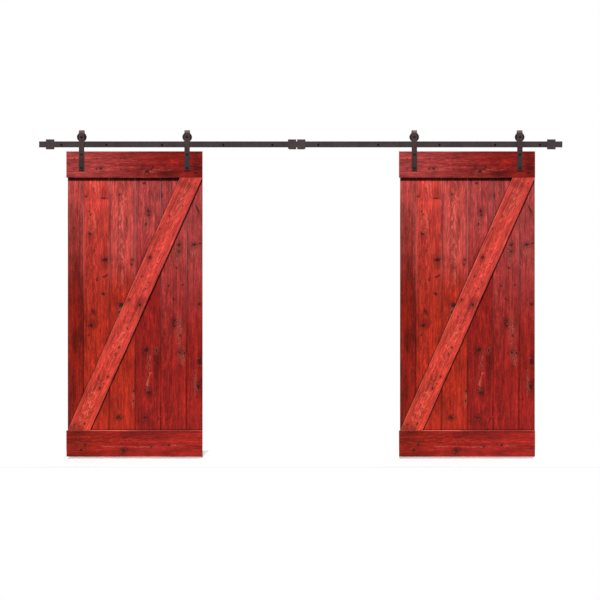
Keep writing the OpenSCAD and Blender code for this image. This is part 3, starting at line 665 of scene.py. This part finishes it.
def sealed_screed(colour):
    """Pale cement screed under a matt seal: dull, with clouds a third of a metre across."""
    material, tree, surface = new_material("sealed_pale_screed", IOR=1.5, Roughness=0.8)
    where = add_node(tree, "TexCoord", {}).outputs["Object"]
    cloud = add_node(tree, "TexNoise", {"Vector": where, "Scale": 3.0, "Detail": 3.0})
    shade = product(tree, (cloud, 0.3, 0.7, 0.98, 1.0))
    tinted = add_node(tree, "VectorMath", {0: list(colour)[:3], "Scale": shade}, operation="SCALE")
    feed(tree, surface, Base_Color=tinted)
    return material


# ---- turned pieces ----


def circle(radius):
    """A circle, as a radius for every angle."""
    return lambda angle: radius


def hexagon(flats, radius=math.inf):
    """A hexagon across its flats with a corner on the X axis, cut round at a radius."""
    sector = math.pi / 3
    return lambda angle: min(radius, flats / 2 / math.cos(angle % sector - sector / 2))


def thread(core, crest, depth, pitch):
    """One slice of a thread, whose crest turns with the depth."""
    return lambda angle: core + (crest - core) * abs(2 * ((depth / pitch - angle / math.tau) % 1) - 1)


def solid_boxes(node):
    """Lowest and highest corner of each separate solid in a CAD node, from left to right."""
    mesh = bmesh.new()
    mesh.from_mesh(NODES[node].data)
    bmesh.ops.remove_doubles(mesh, verts=mesh.verts, dist=0.01 * MM)
    boxes, left = [], set(mesh.verts)
    while left:
        queue = [left.pop()]
        found = []
        while queue:
            vert = queue.pop()
            found.append(vert.co.copy())
            near = {edge.other_vert(vert) for edge in vert.link_edges} & left
            left -= near
            queue.extend(near)
        boxes.append([Vector(end(place[i] for place in found) for i in range(3)) for end in (min, max)])
    mesh.free()
    return sorted(boxes, key=lambda box: (round(box[0].x, 4), box[0].z))


def turned_pieces(name, axes, rings, closed, node, material, steps=48):
    """One piece of equal solids, turned about lines along Y: each ring is a depth and a radius
    for every angle. A closed outline comes back to its first ring, as round a bore."""
    mesh = bmesh.new()
    for x, z in axes:
        rows = []
        for depth, radius_at in rings:
            row = []
            for step in range(steps):
                angle = math.tau * step / steps
                radius = radius_at(angle)
                place = (x + radius * math.cos(angle), depth, z + radius * math.sin(angle))
                row.append(mesh.verts.new(place))
            rows.append(row)
        following = rows[1:] + rows[:1] if closed else rows[1:]
        for first, second in zip(rows, following):
            for step in range(steps):
                after = (step + 1) % steps
                mesh.faces.new((first[step], first[after], second[after], second[step]))
        if not closed:
            mesh.faces.new(rows[0])
            mesh.faces.new(rows[-1])
    bmesh.ops.recalc_face_normals(mesh, faces=mesh.faces)
    data = bpy.data.meshes.new(name)
    mesh.to_mesh(data)
    mesh.free()
    data.shade_smooth()
    data.set_sharp_from_angle(angle=math.radians(35))
    data.materials.append(material)
    piece = bpy.data.objects.new(name, data)
    bpy.context.scene.collection.objects.link(piece)
    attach(piece, NODES[node]["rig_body"])
    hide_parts(node)


def threaded_rings(start, end, core, crest, pitch):
    """Rings of a thread that runs in and out over its first and last turn."""
    count = math.ceil((end - start) / pitch * SLICES)
    rings = []
    for i in range(count + 1):
        depth = start + (end - start) * i / count
        height = min(1, (depth - start) / pitch, (end - depth) / pitch)
        rings.append((depth, thread(core, core + (crest - core) * height, depth, pitch)))
    return rings


def domed_bolt_rings(front, back, sizes):
    """A bolt with a domed head and a hexagon socket, from the socket's floor to the thread's end."""
    half_head, rise = sizes.head_diameter / 2, sizes.head_height
    dome = (half_head ** 2 + rise ** 2) / (2 * rise)
    dome_steps = 8
    shank = sizes.bolt_diameter / 2
    socket_mouth = sizes.socket / math.sqrt(3) + 0.5 * MM
    # the socket's floor, and the top of its walls a little under the dome
    rings = [
        (front + sizes.socket_depth, hexagon(sizes.socket)),
        (front + 0.4 * MM, hexagon(sizes.socket)),
    ]
    for i in range(dome_steps + 1):
        radius = socket_mouth + (half_head - socket_mouth) * i / dome_steps
        rings.append((front + dome - math.sqrt(dome ** 2 - radius ** 2), circle(radius)))
    # the head's flat underside, down to the shank
    rings.append((front + rise, circle(half_head - 0.2 * MM)))
    rings.append((front + rise, circle(shank)))

    turns = 12
    chamfer = 1 * MM
    core = shank - THREAD_DEPTH * sizes.bolt_pitch
    thread_start = back - chamfer - turns * sizes.bolt_pitch
    rings.append((thread_start - 0.2 * MM, circle(shank)))
    rings.append((thread_start, circle(core)))
    for i in range(turns * SLICES + 1):
        depth = thread_start + sizes.bolt_pitch * i / SLICES
        rings.append((depth, thread(core, shank, depth, sizes.bolt_pitch)))
    rings.append((back - chamfer + 0.1 * MM, circle(core)))
    rings.append((back, circle(core - 0.6 * chamfer)))
    return rings


def chamfered_face(face, inwards, flats, flat_share):
    """Rings from a hexagon's flat face to its full corners. inwards is 1 or -1, along Y; the
    flat face is flat_share of the width across the flats."""
    corner = flats / math.sqrt(3)
    flat_face = flats / 2 * flat_share
    slope = inwards * (corner - flat_face) * math.tan(math.radians(30))
    return [
        (face, hexagon(flats, flat_face)),
        (face + slope / 2, hexagon(flats, (flat_face + corner) / 2)),
        (face + slope, hexagon(flats)),
    ]


def nut_rings(front, back, sizes):
    """A hexagon nut with both faces chamfered, round its bore."""
    bore = sizes.bolt_diameter / 2 + 0.1 * MM
    countersink = 0.5 * MM
    return [
        (front + countersink, circle(bore)),
        (front, circle(bore + countersink)),
        *chamfered_face(front, 1, sizes.nut_flats, 0.96),
        *reversed(chamfered_face(back, -1, sizes.nut_flats, 0.96)),
        (back, circle(bore + countersink)),
        (back - countersink, circle(bore)),
    ]


def wall_bolt_rings(front, back, sizes):
    """A wall bolt: chamfered hexagon head, plain shank, coarse thread that ends in a point."""
    under_head = front + sizes.lag_head
    core, crest = sizes.lag_core / 2, sizes.lag_thread / 2
    point = 8 * MM
    # the shank ends just in front of y = 0, where the thread starts
    return [
        *chamfered_face(front, 1, sizes.nut_flats, 0.94),
        (under_head, hexagon(sizes.nut_flats)),
        (under_head, circle(sizes.lag_shank / 2)),
        (-0.5 * MM, circle(sizes.lag_shank / 2)),
        *threaded_rings(0, back - point, core, crest, sizes.lag_pitch),
        (back - point / 2, circle(0.55 * core)),
        (back, circle(0.1 * core)),
    ]


def middles(boxes):
    """The line along Y through each box, as its x and z."""
    return [((low.x + high.x) / 2, (low.z + high.z) / 2) for low, high in boxes]


# ---- operators, one for each kind of piece ----


class DOOR_OT_stage(bpy.types.Operator):
    """Sets the camera, the pale floor and the soft light"""

    bl_idname = "door.stage"
    bl_label = "Stage"

    def execute(self, context):
        settings = context.scene.door_stage
        low, high = CAD_BOX
        aim = Vector((-settings.aim_left, low.y, (low.z + high.z) / 2 - settings.aim_below))
        lens = bpy.data.cameras.new("camera")
        lens.lens = settings.lens
        camera = bpy.data.objects.new("camera", lens)
        back = settings.seen_width * settings.lens / lens.sensor_width
        camera.location = aim - Vector((0, back, 0))
        camera.rotation_euler = (math.pi / 2, 0, 0)
        lens.clip_end = 4 * back
        context.scene.collection.objects.link(camera)
        context.scene.camera = camera
        self.add_floor(context, settings)
        # the key light comes steeply from above, in front; it draws the shadows under the rails
        self.add_sun(context, "key_light", settings.key, 7, (0.02, 0.62, -0.78))
        self.add_sun(context, "back_light", settings.fill, 40, (-0.35, -0.75, -0.55))
        self.add_sky(context, settings.sky)
        context.scene.view_settings.view_transform = "Standard"
        return {"FINISHED"}

    def add_floor(self, context, settings):
        """A slab under the door, with a soft front edge."""
        low, high = CAD_BOX
        top = low.z - settings.floor_gap
        mesh = bmesh.new()
        bmesh.ops.create_cube(mesh, size=1)
        for vert in mesh.verts:
            vert.co.x *= high.x - low.x + 2 * settings.floor_margin
            vert.co.y *= settings.floor_depth
            vert.co.z = top + (vert.co.z - 0.5) * settings.floor_thickness
        data = bpy.data.meshes.new("floor")
        mesh.to_mesh(data)
        mesh.free()
        data.materials.append(sealed_screed(settings.floor_colour))
        floor = bpy.data.objects.new("floor", data)
        floor.modifiers.new("soft_edges", "BEVEL").width = 1 * MM
        context.scene.collection.objects.link(floor)

    def add_sun(self, context, name, strength, softness, towards):
        """A soft light that shines the same way everywhere."""
        sun = bpy.data.lights.new(name, "SUN")
        sun.energy = strength
        sun.angle = math.radians(softness)
        lamp = bpy.data.objects.new(name, sun)
        lamp.rotation_euler = Vector(towards).to_track_quat("-Z", "Y").to_euler()
        context.scene.collection.objects.link(lamp)

    def add_sky(self, context, strength):
        """White all round to look at, and softer as a light."""
        world = bpy.data.worlds.new("studio")
        world.use_nodes = True
        context.scene.world = world
        tree = world.node_tree
        tree.nodes.clear()
        seen = add_node(tree, "LightPath", {}).outputs["Is Camera Ray"]
        level = add_node(tree, "MapRange", {"Value": seen, "To Min": strength, "To Max": 1.0})
        sky = add_node(tree, "Background", {"Color": (1, 1, 1, 1), "Strength": level})
        add_node(tree, "OutputWorld", {"Surface": sky})


class DOOR_OT_boards(bpy.types.Operator):
    """Gives each board of both leaves its own stained pine"""

    bl_idname = "door.boards"
    bl_label = "Boards"

    def execute(self, context):
        settings = context.scene.door_boards
        for board in boards(settings.brace_width):
            material = stained_pine(board, settings)
            for leaf in LEAVES:
                clothe(f"{leaf}_{board.name}", material)
        return {"FINISHED"}


class DOOR_OT_wood_screws(bpy.types.Operator):
    """Blackens the screws that are sunk in the rails and braces"""

    bl_idname = "door.wood_screws"
    bl_label = "Wood screws"

    def execute(self, context):
        material = black_phosphate(context.scene.door_steel.wood_screw)
        for leaf in LEAVES:
            clothe(f"{leaf}_rail_screws", material)
            clothe(f"{leaf}_brace_screws", material)
        return {"FINISHED"}


class DOOR_OT_track(bpy.types.Operator):
    """Coats the track's rails, their plate and the stops"""

    bl_idname = "door.track"
    bl_label = "Track and stops"

    def execute(self, context):
        settings = context.scene.door_steel
        half_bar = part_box("left_track_rail")[1].z
        half_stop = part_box("left_end_stop")[1].z
        # painted shade along the upper and lower edges of the track's bars and the stops
        coats = {
            "track_steel": powder_coat("bronze_powder_coat_track", settings.track, painted_edge_shade(half_bar)),
            "stop_steel": powder_coat("bronze_powder_coat_stop", settings.stop, painted_edge_shade(half_stop)),
        }
        for node, slot in SLOT_OF.items():
            if slot in coats:
                clothe(node, coats[slot])
                soften(node, settings.soft_edge)
        return {"FINISHED"}


class DOOR_OT_straps(bpy.types.Operator):
    """Coats the four hanger straps"""

    bl_idname = "door.straps"
    bl_label = "Hanger straps"

    def execute(self, context):
        settings = context.scene.door_steel
        low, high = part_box("left_leaf_hanger_strap_a")
        # painted shade and light: the straps are darker towards their foot and lighter towards their top
        coat = powder_coat("bronze_powder_coat_strap", settings.strap, [(low.z, high.z, 0.66, 1.36)])
        for node, slot in SLOT_OF.items():
            if slot == "strap_steel":
                clothe(node, coat)
        return {"FINISHED"}


class DOOR_OT_wheels(bpy.types.Operator):
    """Gives the wheels, bearings, spacers and pads their materials"""

    bl_idname = "door.wheels"
    bl_label = "Wheels, bearings and pads"

    def execute(self, context):
        settings = context.scene.door_steel
        finishes = {
            "wheel_nylon": turned_nylon(settings.wheel),
            "bearing_steel": ground_steel(settings.bearing),
            "spacer_steel": dipped_steel(settings.spacer),
            "pad_rubber": moulded_rubber(settings.rubber),
        }
        for node, slot in SLOT_OF.items():
            if slot in finishes:
                clothe(node, finishes[slot])
        return {"FINISHED"}


class DOOR_OT_bolts(bpy.types.Operator):
    """Builds the bolts and nuts with their sockets, chamfers and threads"""

    bl_idname = "door.bolts"
    bl_label = "Bolts and nuts"

    def execute(self, context):
        sizes = context.scene.door_fasteners
        oxide = black_oxide(context.scene.door_steel.bolt)
        for node in ("joiner_screws", "stop_grub_screws"):
            clothe(node, oxide)
        made = [("wall_lag_bolts", "hexagon_wall_bolts", wall_bolt_rings, False)]
        for leaf in LEAVES:
            made += [
                (f"{leaf}_strap_bolts", f"{leaf}_threaded_strap_bolts", domed_bolt_rings, False),
                (f"{leaf}_axle_bolts", f"{leaf}_threaded_axle_bolts", domed_bolt_rings, False),
                (f"{leaf}_strap_nuts", f"{leaf}_chamfered_strap_nuts", nut_rings, True),
                (f"{leaf}_axle_nuts", f"{leaf}_chamfered_axle_nuts", nut_rings, True),
            ]
        for node, name, rings_of, closed in made:
            boxes = solid_boxes(node)
            if not boxes:
                raise RuntimeError(f"{node} holds no solid")
            low, high = boxes[0]
            turned_pieces(name, middles(boxes), rings_of(low.y, high.y, sizes), closed, node, oxide)
        return {"FINISHED"}


class DOOR_PT_panel(bpy.types.Panel):
    """Lists the steps that dress the door"""

    bl_idname = "DOOR_PT_panel"
    bl_label = "Barn door"
    bl_space_type = "VIEW_3D"
    bl_region_type = "UI"
    bl_category = "Barn door"

    def draw(self, context):
        for step in STEPS:
            self.layout.operator(step.bl_idname)
        for name in SETTINGS:
            box = self.layout.box()
            for key in getattr(context.scene, name).bl_rna.properties.keys():
                if key not in ("name", "rna_type"):
                    box.prop(getattr(context.scene, name), key)


STEPS = (
    DOOR_OT_stage, DOOR_OT_boards, DOOR_OT_wood_screws, DOOR_OT_track, DOOR_OT_straps, DOOR_OT_wheels,
    DOOR_OT_bolts,
)
SETTINGS = {
    "door_boards": BoardSettings,
    "door_steel": SteelSettings,
    "door_fasteners": FastenerSettings,
    "door_stage": StageSettings,
}


def register():
    for kind in (*SETTINGS.values(), *STEPS, DOOR_PT_panel):
        bpy.utils.register_class(kind)
    for name, kind in SETTINGS.items():
        setattr(bpy.types.Scene, name, PointerProperty(type=kind))


def unregister():
    for name in SETTINGS:
        delattr(bpy.types.Scene, name)
    for kind in reversed((*SETTINGS.values(), *STEPS, DOOR_PT_panel)):
        bpy.utils.unregister_class(kind)


def main():
    register()
    for step in STEPS:
        group, name = step.bl_idname.split(".")
        getattr(getattr(bpy.ops, group), name)()


if __name__ == "__main__":
    main()
